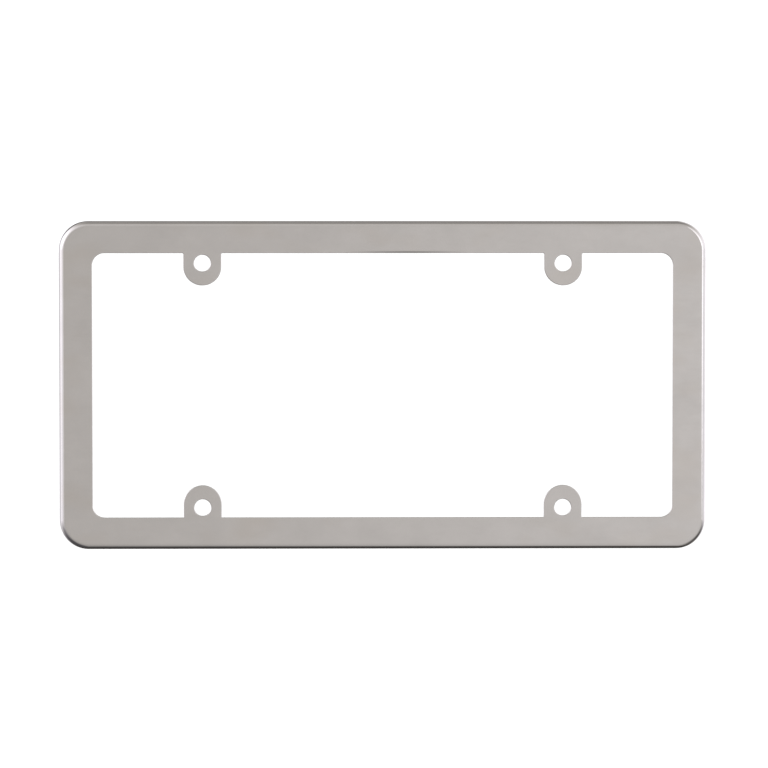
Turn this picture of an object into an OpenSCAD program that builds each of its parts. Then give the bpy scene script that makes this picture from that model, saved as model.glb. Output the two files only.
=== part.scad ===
// Number plate frame, pressed from one polished steel sheet: a flat ring round
// a window, a rim bent back all the way round, and four round-ended bolt tabs.
// The frame stands upright, as it is worn, with its face towards -Y. The origin
// is the middle of the bolt pattern, on the back of the face, where the plate lies.

/* [Number plate] */
// Width of the plate that the frame covers
plate_w = 304.8; // [280:0.1:330]
// Height of the plate that the frame covers
plate_h = 152.4; // [140:0.1:170]
// Room between each end of the plate and the rim
end_clearance = 6.4; // [3:0.1:12]
// Room between the plate and the rim, above and below
edge_clearance = 4; // [3:0.1:10]
// How much of the plate each upright bar covers
end_lap = 9.3; // [5:0.1:20]
// How much of the plate the top and bottom bars each cover
edge_lap = 10.95; // [5:0.05:16]

/* [Sheet] */
// Thickness of the steel sheet
sheet_t = 0.8; // [0.5:0.1:1.5]
// Inside radius of the bend between face and rim
bend_r = 2; // [1:0.1:4]
// Depth of the rim, from the front of the face to its rear edge
rim_d = 7; // [6:0.1:15]
// Radius of the frame's outside corners, seen from the front
corner_r = 14.4; // [8:0.1:20]
// Radius of the window's corners
window_corner_r = 6; // [2:0.1:10]

/* [Bolt tabs] */
// Distance between bolt holes, left to right
bolt_span_x = 177.8; // [150:0.05:200]
// Distance between bolt holes, top to bottom
bolt_span_z = 120.65; // [112:0.05:124]
// Diameter of the bolt holes
bolt_hole_d = 8.2; // [5:0.1:10]
// Width of a tab, which is also the diameter of its round end
tab_w = 18.8; // [14:0.1:24]
// How far a tab reaches past the centre of its hole
tab_reach = 11; // [9:0.1:16]
// Radius in the corner between a tab and its bar
tab_root_r = 0.5; // [0.2:0.1:2]

/* [Hidden] */

$fn = 96;

bend_outer_r = bend_r + sheet_t;
frame_w = plate_w + 2 * (end_clearance + sheet_t);
frame_h = plate_h + 2 * (edge_clearance + sheet_t);
window_w = plate_w - 2 * end_lap;
window_h = plate_h - 2 * edge_lap;

// The flat of the face ends where the bend begins
flat_w = frame_w - 2 * bend_outer_r;
flat_h = frame_h - 2 * bend_outer_r;
flat_corner_r = corner_r - bend_outer_r;

// The rim's section reaches this far into the flat, so that the two make one sheet
join = 1;

// The round end of an upper tab is struck from this height
tab_end_z = bolt_span_z / 2 - tab_reach + tab_w / 2;

// The blank's outlines are flat, with the frame's height along the drawing's Y

module rounded_rectangle(width, height, radius) {
    square([width - 2 * radius, height], center = true);
    square([width, height - 2 * radius], center = true);
    for (x = [-1, 1], y = [-1, 1])
        translate([x * (width / 2 - radius), y * (height / 2 - radius)])
            circle(radius);
}

// Fills the corner between a tab's right flank and the lower edge of its bar
module tab_root() {
    difference() {
        square(2 * tab_root_r, center = true);
        translate([tab_root_r, -tab_root_r]) circle(tab_root_r);
    }
}

// A tab of the top bar hangs from it, with its round end below the bolt hole
module tab_outline() {
    bar_edge_z = window_h / 2;
    translate([-tab_w / 2, tab_end_z])
        square([tab_w, bar_edge_z + tab_root_r - tab_end_z]);
    translate([0, tab_end_z]) circle(d = tab_w);
    for (side = [0, 1])
        mirror([side, 0]) translate([tab_w / 2, bar_edge_z]) tab_root();
}

// Four copies about the middle of the bolt pattern, one for each bolt
module at_each_bolt() {
    for (left = [0, 1], lower = [0, 1])
        mirror([left, 0]) mirror([0, lower]) translate([bolt_span_x / 2, 0]) children();
}

module face_outline() {
    difference() {
        union() {
            difference() {
                rounded_rectangle(flat_w, flat_h, flat_corner_r);
                rounded_rectangle(window_w, window_h, window_corner_r);
            }
            at_each_bolt() tab_outline();
        }
        at_each_bolt() translate([0, bolt_span_z / 2]) circle(d = bolt_hole_d);
    }
}

// Section of the bend and rim: outwards along X, and towards the front along Y.
// The bend starts at X = 0, on the edge of the flat.
module rim_section() {
    translate([-join, 0]) square([join, sheet_t]);
    translate([0, -bend_r]) intersection() {
        difference() {
            circle(bend_outer_r);
            circle(bend_r);
        }
        square(bend_outer_r);
    }
    translate([bend_r, sheet_t - rim_d]) square([sheet_t, rim_d - bend_outer_r]);
}

module straight_rim(length) {
    rotate([90, 0, 90]) linear_extrude(length, center = true) rim_section();
}

// The same section turned round a corner makes the doubly curved corner of the press
module corner_rim() {
    rotate_extrude(angle = 90) translate([flat_corner_r, 0]) rim_section();
}

module rim() {
    straight_w = flat_w - 2 * flat_corner_r;
    straight_h = flat_h - 2 * flat_corner_r;
    for (turn = [0, 180])
        rotate(turn) translate([0, flat_h / 2, 0]) straight_rim(straight_w);
    for (turn = [90, 270])
        rotate(turn) translate([0, flat_w / 2, 0]) straight_rim(straight_h);
    for (left = [0, 1], lower = [0, 1])
        mirror([left, 0, 0]) mirror([0, lower, 0])
            translate([straight_w / 2, straight_h / 2, 0]) corner_rim();
}

// Modelled face up and then stood on edge, so that its back looks along +Y
module plate_frame() {
    color([0.71, 0.69, 0.67]) rotate([90, 0, 0]) {
        linear_extrude(sheet_t) face_outline();
        rim();
    }
}

plate_frame();
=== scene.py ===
import math

import bmesh
import bpy
from mathutils import Matrix, Vector


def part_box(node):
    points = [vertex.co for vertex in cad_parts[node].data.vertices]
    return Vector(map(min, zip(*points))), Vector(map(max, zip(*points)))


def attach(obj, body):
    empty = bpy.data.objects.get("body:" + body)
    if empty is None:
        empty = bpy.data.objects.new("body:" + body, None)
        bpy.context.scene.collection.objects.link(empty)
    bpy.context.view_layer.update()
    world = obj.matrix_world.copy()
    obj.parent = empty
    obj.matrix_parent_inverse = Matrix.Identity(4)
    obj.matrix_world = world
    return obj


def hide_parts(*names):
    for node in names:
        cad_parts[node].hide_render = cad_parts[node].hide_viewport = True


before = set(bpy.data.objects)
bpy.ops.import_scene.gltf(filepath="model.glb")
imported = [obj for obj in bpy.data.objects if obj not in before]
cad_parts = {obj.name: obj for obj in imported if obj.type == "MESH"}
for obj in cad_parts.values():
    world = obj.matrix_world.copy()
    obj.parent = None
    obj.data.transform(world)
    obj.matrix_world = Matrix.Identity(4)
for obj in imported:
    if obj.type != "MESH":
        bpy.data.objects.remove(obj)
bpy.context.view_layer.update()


# The camera looks at the frame as the photograph does: from about two metres through a
# long lens, one degree to the left of square on and not quite three degrees above it.
CAMERA_DISTANCE = 2.0
CAMERA_LEFT = math.radians(1.0)
CAMERA_ABOVE = math.radians(2.8)
CAMERA_LENS = 190.05
FILM_WIDTH = 36.0
# The middle of the photograph lies just right of and above the middle of the bolt holes
AIM_RIGHT = 0.00057
AIM_UP = 0.00069

low_corner, high_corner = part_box("plate_frame")
FACE_FRONT = low_corner.y

towards_camera = Vector((
    -math.sin(CAMERA_LEFT) * math.cos(CAMERA_ABOVE),
    -math.cos(CAMERA_LEFT) * math.cos(CAMERA_ABOVE),
    math.sin(CAMERA_ABOVE),
))
camera_turn = (-towards_camera).to_track_quat("-Z", "Y")
aim_point = Vector((0, FACE_FRONT, 0)) + camera_turn @ Vector((AIM_RIGHT, AIM_UP, 0))
camera_data = bpy.data.cameras.new("photograph_view")
camera_data.lens = CAMERA_LENS
camera_data.sensor_width = FILM_WIDTH
camera = bpy.data.objects.new("photograph_view", camera_data)
camera.location = aim_point + towards_camera * CAMERA_DISTANCE
camera.rotation_mode = "QUATERNION"
camera.rotation_quaternion = camera_turn
bpy.context.scene.collection.objects.link(camera)
bpy.context.scene.camera = camera


# The rim of the plate frame. The press turns the edge of the steel sheet back all the way
# round, over a small bend, and leaves a plain cut edge at the rear.
SHEET = 0.0008
BEND_OUTSIDE = 0.0028
CORNER_OUTSIDE = 0.0144
CORNER_STEPS = 32
BEND_STEPS = 14
FACE_BACK = FACE_FRONT + SHEET
RIM_REAR = high_corner.y
FRAME_WIDTH = high_corner.x - low_corner.x
FRAME_HEIGHT = high_corner.z - low_corner.z
# What is this close to a level or to an edge counts as lying on it
TOUCHING = 1e-5


def facing_forwards(y, width=1, height=1):
    """Stands flat work upright at a depth, facing the viewer, at a width and height."""
    upright = Matrix.Rotation(math.radians(90), 4, "X")
    return Matrix.Translation((0, y, 0)) @ upright @ Matrix.Diagonal((width, height, 1, 1))


def widest_face(sheet, y):
    level = [face for face in sheet.faces if abs(face.calc_center_median().y - y) < TOUCHING]
    return max(level, key=lambda face: face.calc_area())


def lift_out(sheet, y):
    """Takes away the widest face at a depth and gives the edges that were round it."""
    face = widest_face(sheet, y)
    edges = list(face.edges)
    bmesh.ops.delete(sheet, geom=[face], context="FACES_ONLY")
    return edges


def press_rim(sheet, inset, face_y):
    """One side of the rim, the outside or an inset inside. Gives the edges of its flat."""
    width = FRAME_WIDTH - 2 * inset
    height = FRAME_HEIGHT - 2 * inset
    bmesh.ops.create_grid(
        sheet, x_segments=1, y_segments=1, size=0.5,
        matrix=facing_forwards(face_y, width, height),
    )
    blank = widest_face(sheet, face_y)
    turned = bmesh.ops.extrude_edge_only(sheet, edges=list(blank.edges))["geom"]
    rear = [item for item in turned if isinstance(item, bmesh.types.BMVert)]
    bmesh.ops.translate(sheet, verts=rear, vec=(0, RIM_REAR - face_y, 0))
    corners = [
        edge for vert in blank.verts for edge in vert.link_edges
        if edge.other_vert(vert) in rear
    ]
    bmesh.ops.bevel(
        sheet, geom=corners, offset=CORNER_OUTSIDE - inset, offset_type="OFFSET",
        affect="EDGES", segments=CORNER_STEPS, profile=0.5, material=-1,
    )
    bmesh.ops.bevel(
        sheet, geom=list(widest_face(sheet, face_y).edges),
        offset=BEND_OUTSIDE - inset, offset_type="OFFSET",
        affect="EDGES", segments=BEND_STEPS, profile=0.5, material=-1,
    )
    return lift_out(sheet, face_y)


# The face of the plate frame. One stroke punches the window, which leaves four tabs with
# round ends on the long bars, and the four bolt holes through the tabs.
WINDOW_WIDTH = 0.2862
WINDOW_HEIGHT = 0.1305
WINDOW_CORNER = 0.006
WINDOW_CORNER_STEPS = 24
BOLTS_ACROSS = 0.1778
BOLTS_UP = 0.12065
HOLE_RADIUS = 0.0041
HOLE_STEPS = 72
TAB_WIDTH = 0.0188
TAB_END_STEPS = 24
# The corner between a tab and its bar
TAB_ROOT = 0.0005
TAB_ROOT_STEPS = 6
TAB_REACH = 0.011
# The tabs end this far above and below the middle of the frame
TAB_TIP = BOLTS_UP / 2 - TAB_REACH
# Points this close together are made one
SAME_POINT = 1e-6


def near_bolt(place, reach):
    """Whether a place is within a reach of a bolt hole, measured along the bars."""
    return abs(abs(place.x) - BOLTS_ACROSS / 2) < reach


def is_tab_cell(face):
    middle = face.calc_center_median()
    return near_bolt(middle, TAB_WIDTH / 2) and abs(middle.z) > TAB_TIP


def mark_window(sheet, y):
    """Draws the window as one flat face, scored round its tabs and with them taken out."""
    window = bmesh.ops.create_grid(
        sheet, x_segments=1, y_segments=1, size=0.5,
        matrix=facing_forwards(y, WINDOW_WIDTH, WINDOW_HEIGHT),
    )
    cells = list(window["verts"][0].link_faces)
    flanks = [
        Vector((bolt + flank, 0, 0))
        for bolt in (-BOLTS_ACROSS / 2, BOLTS_ACROSS / 2)
        for flank in (-TAB_WIDTH / 2, TAB_WIDTH / 2)
    ]
    for place in flanks + [Vector((0, 0, -TAB_TIP)), Vector((0, 0, TAB_TIP))]:
        edges = {edge for cell in cells for edge in cell.edges}
        verts = {vert for cell in cells for vert in cell.verts}
        scored = bmesh.ops.bisect_plane(
            sheet, geom=cells + list(edges) + list(verts), plane_co=place, plane_no=place,
        )
        cells = [item for item in scored["geom"] if isinstance(item, bmesh.types.BMFace)]
    tabs = [cell for cell in cells if is_tab_cell(cell)]
    cells = [cell for cell in cells if cell not in tabs]
    bmesh.ops.delete(sheet, geom=tabs, context="FACES")
    bmesh.ops.dissolve_faces(sheet, faces=cells)


def round_corners(sheet, y, chosen, radius, steps):
    """Rounds those corners of the widest face at a depth whose place is chosen."""
    corners = [vert for vert in widest_face(sheet, y).verts if chosen(vert.co)]
    bmesh.ops.bevel(
        sheet, geom=corners, offset=radius, offset_type="OFFSET",
        affect="VERTICES", segments=steps, profile=0.5, material=-1,
    )


def punch(sheet, y):
    """Cuts the window with its tabs, and the bolt holes. Gives the edges round them."""
    mark_window(sheet, y)
    side = WINDOW_WIDTH / 2 - TOUCHING
    bar_edge = WINDOW_HEIGHT / 2 - TOUCHING
    round_corners(
        sheet, y, lambda at: abs(at.x) > side and abs(at.z) > bar_edge,
        WINDOW_CORNER, WINDOW_CORNER_STEPS,
    )
    round_corners(
        sheet, y, lambda at: near_bolt(at, TAB_WIDTH) and abs(at.z) > bar_edge,
        TAB_ROOT, TAB_ROOT_STEPS,
    )
    round_corners(
        sheet, y, lambda at: near_bolt(at, TAB_WIDTH) and abs(at.z) < TAB_TIP + TOUCHING,
        TAB_WIDTH / 2, TAB_END_STEPS,
    )
    slug = widest_face(sheet, y)
    bmesh.ops.remove_doubles(sheet, verts=list(slug.verts), dist=SAME_POINT)
    outline = lift_out(sheet, y)

    for x in (-BOLTS_ACROSS / 2, BOLTS_ACROSS / 2):
        for z in (-BOLTS_UP / 2, BOLTS_UP / 2):
            hole = bmesh.ops.create_circle(
                sheet, cap_ends=False, segments=HOLE_STEPS, radius=HOLE_RADIUS,
                matrix=Matrix.Translation((x, 0, z)) @ facing_forwards(y),
            )
            outline += list({edge for vert in hole["verts"] for edge in vert.link_edges})
    return outline


# The two sides of the sheet are brought together here. Tumbling and polishing have rolled
# over the front of every punched edge, and the rear of each cut stays square.
EDGE_ROLL = 0.00026
EDGE_ROLL_STEPS = 5
FLAT_BAND = 0.0006
SHARP_FROM = math.radians(35)
POLISHED, MILLED, SHEARED = range(3)


def fill_face(sheet, edges):
    filled = bmesh.ops.triangle_fill(
        sheet, edges=edges, normal=(0, -1, 0), use_beauty=True, use_dissolve=False,
    )
    return [item for item in filled["geom"] if isinstance(item, bmesh.types.BMFace)]


def dress(faces, finish):
    for face in faces:
        face.material_index = finish


# The front is the outside of the rim and the punched face. A narrow band of even faces
# runs round the flat, beside the bend and beside every punched edge.
sheet = bmesh.new()
front = fill_face(sheet, press_rim(sheet, 0, FACE_FRONT) + punch(sheet, FACE_FRONT))
bmesh.ops.inset_region(
    sheet, faces=front, thickness=FLAT_BAND, use_boundary=True, use_even_offset=True,
)
dress(sheet.faces, POLISHED)

# The punch shears a wall through the sheet from each edge that the front leaves open
cut = [
    edge for edge in sheet.edges
    if edge.is_boundary and max(vert.co.y for vert in edge.verts) < FACE_FRONT + TOUCHING
]
wall = bmesh.ops.extrude_edge_only(sheet, edges=cut)["geom"]
wall_rear = [item for item in wall if isinstance(item, bmesh.types.BMVert)]
bmesh.ops.translate(sheet, verts=wall_rear, vec=(0, SHEET, 0))
dress([item for item in wall if isinstance(item, bmesh.types.BMFace)], SHEARED)
rolled = bmesh.ops.bevel(
    sheet, geom=cut, offset=EDGE_ROLL, offset_type="OFFSET",
    affect="EDGES", segments=EDGE_ROLL_STEPS, profile=0.5, material=-1,
)
dress(rolled["faces"], POLISHED)

# The back has the same rim and face, one thickness further in, and looks the other way
front_side = set(sheet.faces)
fill_face(sheet, press_rim(sheet, SHEET, FACE_BACK) + punch(sheet, FACE_BACK))
back_side = [face for face in sheet.faces if face not in front_side]
dress(back_side, MILLED)
bmesh.ops.reverse_faces(sheet, faces=back_side)
bmesh.ops.remove_doubles(sheet, verts=sheet.verts[:], dist=SAME_POINT)

# The cut edge at the rear of the rim closes the sheet
rim_edges = [edge for edge in sheet.edges if edge.is_boundary]
dress(bmesh.ops.bridge_loops(sheet, edges=rim_edges)["faces"], SHEARED)
bmesh.ops.recalc_face_normals(sheet, faces=sheet.faces[:])
for face in sheet.faces:
    face.smooth = True

frame_mesh = bpy.data.meshes.new("polished_plate_frame")
sheet.to_mesh(frame_mesh)
sheet.free()
frame_mesh.set_sharp_from_angle(angle=SHARP_FROM)
plate_frame = bpy.data.objects.new("polished_plate_frame", frame_mesh)
bpy.context.scene.collection.objects.link(plate_frame)
# The flat faces keep their own direction up to the start of each bend
level_shading = plate_frame.modifiers.new("level_flats", "WEIGHTED_NORMAL")
level_shading.keep_sharp = True
level_shading.weight = 100


# The finishes. The front and the rim are buffed bright, the back keeps the dull grey of
# the rolled sheet, and the sheared edges show the marks of the tool.
CLEAR_STEEL, CLOUDED_STEEL = (0.687, 0.671, 0.662), (0.634, 0.62, 0.61)
WARM_STAIN = (0.625, 0.59, 0.55)
BUFFING_DEPTH = 0.0000004
WAVE_DEPTH = 0.00006
# A thin painted dark reflection, of the dark table below, along the middle of the window's
# upper edge
DARK_REFLECTION_MIDDLE = 0.0123
DARK_REFLECTION_LENGTH = 0.068
DARK_REFLECTION_HEIGHT = 0.0008
DARK_REFLECTION_STEEL = (0.39, 0.385, 0.375)
MILL_GREY, MILL_SPOT = (0.53, 0.52, 0.51), (0.475, 0.46, 0.45)
ROLLING_DEPTH = 0.0000015
SHEARED_GREY, TORN_GREY = (0.43, 0.42, 0.41), (0.33, 0.32, 0.31)
TOOL_MARK_DEPTH = 0.000004


def add_node(tree, kind, inputs=None, **settings):
    """A node with its settings, and with each input given as a value or as a link."""
    made = tree.nodes.new(kind)
    for name, value in settings.items():
        setattr(made, name, value)
    for name, value in (inputs or {}).items():
        if isinstance(value, bpy.types.NodeSocket):
            tree.links.new(value, made.inputs[name])
        else:
            made.inputs[name].default_value = value
    return made


def new_finish(name):
    """A bare metal: its material, node tree and shader, and the place of each point."""
    finish = bpy.data.materials.new(name)
    finish.use_nodes = True
    tree = finish.node_tree
    metal = tree.nodes["Principled BSDF"]
    metal.inputs["Metallic"].default_value = 1.0
    place = add_node(tree, "ShaderNodeTexCoord").outputs["Object"]
    return finish, tree, metal, place


def grain(tree, place, stretch, scale, detail=3.0, roughness=0.5):
    """Noise, squeezed along each axis by a stretch, as a factor."""
    turned = add_node(tree, "ShaderNodeMapping", {"Vector": place, "Scale": stretch})
    noise = add_node(
        tree, "ShaderNodeTexNoise",
        {"Vector": turned.outputs["Vector"], "Scale": scale, "Detail": detail,
         "Roughness": roughness},
    )
    return noise.outputs["Fac"]


def between(tree, factor, low, high, from_low=0.3, from_high=0.7, fade="LINEAR"):
    """Spreads a factor's range over another range, and holds it there past both ends."""
    spread = add_node(
        tree, "ShaderNodeMapRange",
        {"Value": factor, "From Min": from_low, "From Max": from_high,
         "To Min": low, "To Max": high},
        interpolation_type=fade,
    )
    return spread.outputs["Result"]


def math_of(tree, operation, *values):
    made = add_node(tree, "ShaderNodeMath", operation=operation)
    for socket, value in zip(made.inputs, values):
        if isinstance(value, bpy.types.NodeSocket):
            tree.links.new(value, socket)
        else:
            socket.default_value = value
    return made.outputs[0]


def close_to(tree, along, place, full, gone, low=0.0):
    """How close a coordinate is to a place: 1 out to one distance, and low past another."""
    off = math_of(tree, "ABSOLUTE", math_of(tree, "SUBTRACT", along, place))
    return between(tree, off, 1.0, low, full, gone, "SMOOTHSTEP")


def blend(tree, factor, first, second):
    """One colour over another, each given as a colour or as a link."""
    first, second = (
        value if isinstance(value, bpy.types.NodeSocket) else (*value, 1)
        for value in (first, second)
    )
    mixed = add_node(
        tree, "ShaderNodeMix", {"Factor": factor, "A": first, "B": second}, data_type="RGBA",
    )
    return mixed.outputs["Result"]


def raised(tree, height, depth, over=None):
    """Relief of a real depth in metres, over a coarser relief where there is one."""
    relief = add_node(
        tree, "ShaderNodeBump", {"Height": height, "Strength": 1.0, "Distance": depth},
    )
    if over is not None:
        tree.links.new(over, relief.inputs["Normal"])
    return relief.outputs["Normal"]


def polished_steel():
    """Mirror steel with faint cloudy patches, long buffing lines, a few warm stains and a
    painted dark reflection along the window's upper edge.
    """
    finish, tree, metal, place = new_finish("polished_steel_front")
    patches = grain(tree, place, stretch=(1, 1, 1.5), scale=38, detail=5, roughness=0.68)
    clouds = between(tree, patches, low=0, high=1)
    handled = grain(tree, place, stretch=(1, 1, 2), scale=24, detail=2)
    stains = between(tree, handled, low=0, high=0.6, from_low=0.54, from_high=0.78)
    clear = blend(tree, clouds, CLEAR_STEEL, CLOUDED_STEEL)
    stained = blend(tree, stains, clear, WARM_STAIN)
    part_of = add_node(tree, "ShaderNodeSeparateXYZ", {"Vector": place}).outputs
    # Painted dark reflection: a thin dark line in the base colour along the middle of the
    # window's upper edge
    painted_reflection_line = math_of(
        tree, "MULTIPLY", close_to(tree, part_of["X"], DARK_REFLECTION_MIDDLE, 0.0, DARK_REFLECTION_LENGTH / 2),
        close_to(tree, part_of["Z"], WINDOW_HEIGHT / 2, DARK_REFLECTION_HEIGHT, 1.5 * DARK_REFLECTION_HEIGHT),
    )
    tree.links.new(blend(tree, painted_reflection_line, stained, DARK_REFLECTION_STEEL), metal.inputs["Base Color"])
    buffed = grain(tree, place, stretch=(1, 12, 60), scale=55, detail=4)
    dulled = math_of(
        tree, "ADD", between(tree, clouds, low=0, high=0.03, from_low=0, from_high=1),
        between(tree, buffed, low=0.085, high=0.125),
    )
    tree.links.new(dulled, metal.inputs["Roughness"])
    swell = grain(tree, place, stretch=(1, 1, 1.6), scale=22, detail=1)
    waves = raised(tree, swell, WAVE_DEPTH)
    tree.links.new(raised(tree, buffed, BUFFING_DEPTH, over=waves), metal.inputs["Normal"])
    return finish


def milled_steel():
    """The back, as the sheet left the rolling mill, with long rolling lines and dull spots."""
    finish, tree, metal, place = new_finish("mill_finish_back")
    rolled = grain(tree, place, stretch=(1, 14, 45), scale=60, detail=5, roughness=0.6)
    dull = grain(tree, place, stretch=(1, 1, 2.5), scale=55, detail=6)
    spots = between(tree, dull, low=0, high=1, from_low=0.5, from_high=0.8)
    tree.links.new(blend(tree, spots, MILL_GREY, MILL_SPOT), metal.inputs["Base Color"])
    tree.links.new(between(tree, rolled, low=0.27, high=0.42), metal.inputs["Roughness"])
    tree.links.new(raised(tree, rolled, ROLLING_DEPTH), metal.inputs["Normal"])
    return finish


def sheared_steel():
    """The cut edges, with fine marks across the sheet where the punch slid past."""
    finish, tree, metal, place = new_finish("sheared_edge")
    marks = grain(tree, place, stretch=(20, 1, 20), scale=160, detail=4, roughness=0.65)
    crystals = grain(tree, place, stretch=(1, 1, 1), scale=300)
    torn = between(tree, crystals, low=0, high=1, from_low=0.45, from_high=0.6)
    tree.links.new(blend(tree, torn, SHEARED_GREY, TORN_GREY), metal.inputs["Base Color"])
    tree.links.new(between(tree, marks, low=0.32, high=0.55), metal.inputs["Roughness"])
    tree.links.new(raised(tree, marks, TOOL_MARK_DEPTH), metal.inputs["Normal"])
    return finish


frame_mesh.materials.append(polished_steel())
frame_mesh.materials.append(milled_steel())
frame_mesh.materials.append(sheared_steel())
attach(plate_frame, "root")
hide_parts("plate_frame")


# The floor is a plain white sweep, well below the frame, which hangs as it would from
# its four bolts. It is there to be seen and not to be mirrored in the steel.
FLOOR_DROP = 0.35
FLOOR_SIZE = 60.0
FLOOR_WHITE = (0.92, 0.92, 0.92, 1)
FLOOR_ROUGHNESS = 0.9

floor_shape = bmesh.new()
bmesh.ops.create_grid(
    floor_shape, x_segments=1, y_segments=1, size=FLOOR_SIZE / 2,
    matrix=Matrix.Translation((0, 0, low_corner.z - FLOOR_DROP)),
)
floor_mesh = bpy.data.meshes.new("floor")
floor_shape.to_mesh(floor_mesh)
floor_shape.free()
floor = bpy.data.objects.new("floor", floor_mesh)
floor.visible_glossy = False
bpy.context.scene.collection.objects.link(floor)
floor_paint = bpy.data.materials.new("white_floor")
floor_paint.use_nodes = True
floor_shader = floor_paint.node_tree.nodes["Principled BSDF"]
floor_shader.inputs["Base Color"].default_value = FLOOR_WHITE
floor_shader.inputs["Roughness"].default_value = FLOOR_ROUGHNESS
floor_shader.inputs["Specular IOR Level"].default_value = 0.0
floor_mesh.materials.append(floor_paint)


# The studio. The steel mirrors soft round cards hung in a warm grey room, the floor and the
# background see plain white, and no card is in the picture itself.
WHITE_ROOM = (1.2, 1.2, 1.2)
# The wall behind the camera is a warm grey that grows brighter and cooler from left to
# right, and it fades above and below the height where the frame mirrors it. The places
# are parts of a direction one metre long.
GREY_AT_LEFT, GREY_AT_RIGHT = (0.642, 0.616, 0.593), (0.815, 0.787, 0.773)
WALL_LEFT, WALL_RIGHT = -0.06, 0.097
BRIGHTEST_AT = -0.049
FADED_BY = 0.06
FADED_TO = 0.93
# Each card has a colour, and its place and size in degrees: how far to the right of the
# camera and above it, how wide its even middle is, and where its soft edge ends. A card
# hangs in front of those before it.
CARDS = (
    ("left_panel", -75, 27, 10, 72, (2.29, 2.23, 2.38)),
    ("right_panel", 49, 21, 25, 26, (1.9, 1.86, 1.95)),
    ("right_wall", 114, 17, 48, 62, (1.37, 1.34, 1.41)),
    ("dark_doorway", -150, 37, 25, 42, (0.06, 0.06, 0.065)),
    ("dim_ceiling", 38, 78, 20, 79, (0.66, 0.63, 0.6)),
    ("dark_ceiling", 66, 82, 2, 42, (0.27, 0.26, 0.25)),
    ("black_table", -146, -66, 39, 52, (0.058, 0.055, 0.051)),
    ("table_left", -59, -42, 2, 60, (0.15, 0.145, 0.155)),
    ("table_right", 84, -44, 10, 57, (0.115, 0.11, 0.105)),
    ("left_wall", -128, -4, 2, 54, (0.87, 0.85, 0.92)),
    ("dark_stool", -48, -28, 2, 14, (0.3, 0.29, 0.31)),
    ("dark_step", -50, -58, 12, 30, (0.1, 0.097, 0.104)),
)


def hang_card(tree, behind, towards, name, across, up, even, edge, colour):
    """Lays a soft round card over what is behind it, and gives the two as one colour."""
    turn, rise = math.radians(across), math.radians(up)
    middle = (
        math.sin(turn) * math.cos(rise), -math.cos(turn) * math.cos(rise), math.sin(rise),
    )
    nearness = add_node(
        tree, "ShaderNodeVectorMath", operation="DOT_PRODUCT", label=name,
    )
    tree.links.new(towards, nearness.inputs[0])
    nearness.inputs[1].default_value = middle
    apart = math_of(tree, "ARCCOSINE", nearness.outputs["Value"])
    cover = between(
        tree, apart, 0.0, 1.0, math.radians(edge), math.radians(even), "SMOOTHSTEP",
    )
    return blend(tree, cover, behind, colour)


world = bpy.data.worlds.new("studio")
bpy.context.scene.world = world
world.use_nodes = True
room = world.node_tree
towards = add_node(room, "ShaderNodeTexCoord").outputs["Generated"]
part_of = add_node(room, "ShaderNodeSeparateXYZ", {"Vector": towards}).outputs
across_wall = between(room, part_of["X"], 0.0, 1.0, WALL_LEFT, WALL_RIGHT)
up_wall = close_to(room, part_of["Z"], BRIGHTEST_AT, 0.0, FADED_BY, FADED_TO)
wall = add_node(
    room, "ShaderNodeVectorMath",
    {"Vector": blend(room, across_wall, GREY_AT_LEFT, GREY_AT_RIGHT), "Scale": up_wall},
    operation="SCALE",
)
mirrored = wall.outputs["Vector"]
for card in CARDS:
    mirrored = hang_card(room, mirrored, towards, *card)
is_mirrored = add_node(room, "ShaderNodeLightPath").outputs["Is Glossy Ray"]
seen = blend(room, is_mirrored, WHITE_ROOM, mirrored)
room.links.new(seen, room.nodes["Background"].inputs["Color"])
bpy.context.scene.view_settings.view_transform = "Standard"
